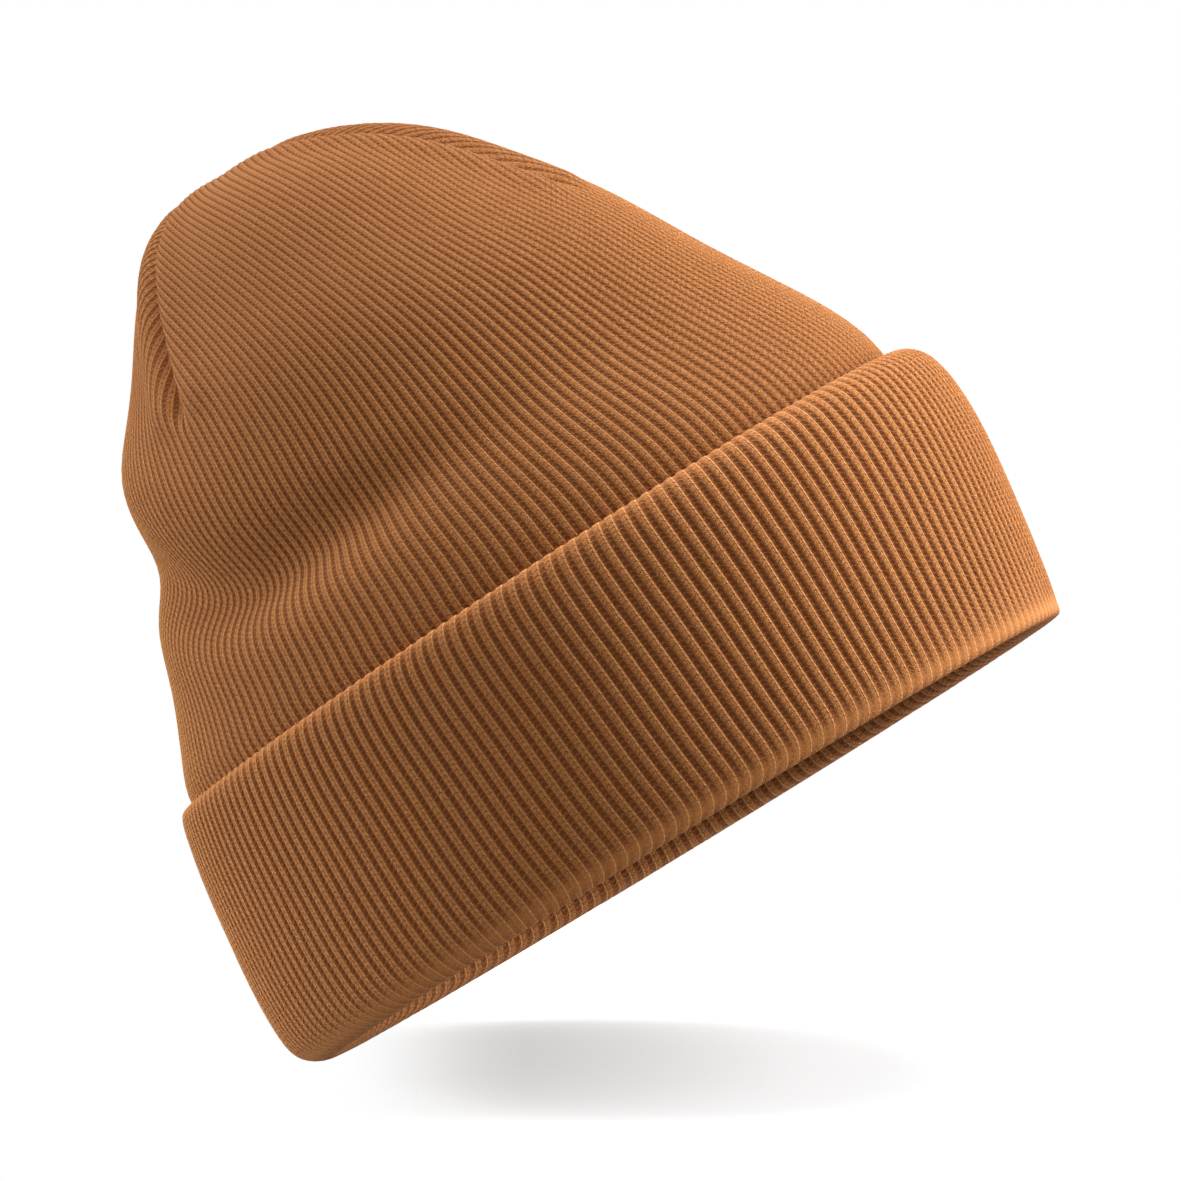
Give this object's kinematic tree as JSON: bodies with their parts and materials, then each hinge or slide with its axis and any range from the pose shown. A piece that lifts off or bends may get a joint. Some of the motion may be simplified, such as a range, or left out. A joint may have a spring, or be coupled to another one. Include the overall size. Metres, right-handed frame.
{
  "type": "cuffed double-layer rib-knit hat",
  "caption": "Close-fitting soft knitted hat: a ribbed outer shell and lining closed by crown darts, with a deep turned-up cuff round the head opening.",
  "frame": {"origin": "centre of the head opening on the plane the rim stands on", "axes": "+Z from the rim up to the crown, -Y is the front (the side between the two front darts), +X is the wearer's left"},
  "size_m": [0.21, 0.2016, 0.189],
  "materials": {
    "shell_knit": "matte rib knit",
    "lining_knit": "matte rib knit",
    "cuff_knit": "matte rib knit",
    "sewing_thread": "spun thread"
  },
  "bodies": {
    "cuff": {"cuff_outer_ply": "cuff_knit", "cuff_inner_ply": "cuff_knit", "cuff_top_fold": "cuff_knit", "rim_outer_turn": "cuff_knit", "rim_inner_turn": "cuff_knit"},
    "crown": {"crown_tack": "sewing_thread", "lining": "lining_knit", "lining_dart_seam_front": "lining_knit", "lining_dart_seam_left": "lining_knit", "lining_dart_seam_right": "lining_knit", "lining_overlock_thread_front": "sewing_thread", "lining_overlock_thread_left": "sewing_thread", "lining_overlock_thread_right": "sewing_thread", "outer_shell": "shell_knit", "shell_dart_seam_back": "shell_knit", "shell_dart_seam_left": "shell_knit", "shell_dart_seam_right": "shell_knit", "shell_overlock_thread_back": "sewing_thread", "shell_overlock_thread_left": "sewing_thread", "shell_overlock_thread_right": "sewing_thread"}
  },
  "joints": [
    {"name": "cuff_turn_down", "type": "slide", "parent": "cuff", "child": "crown", "axis": [0, 0, 1], "range_m": [0, 0.055]}
  ]
}
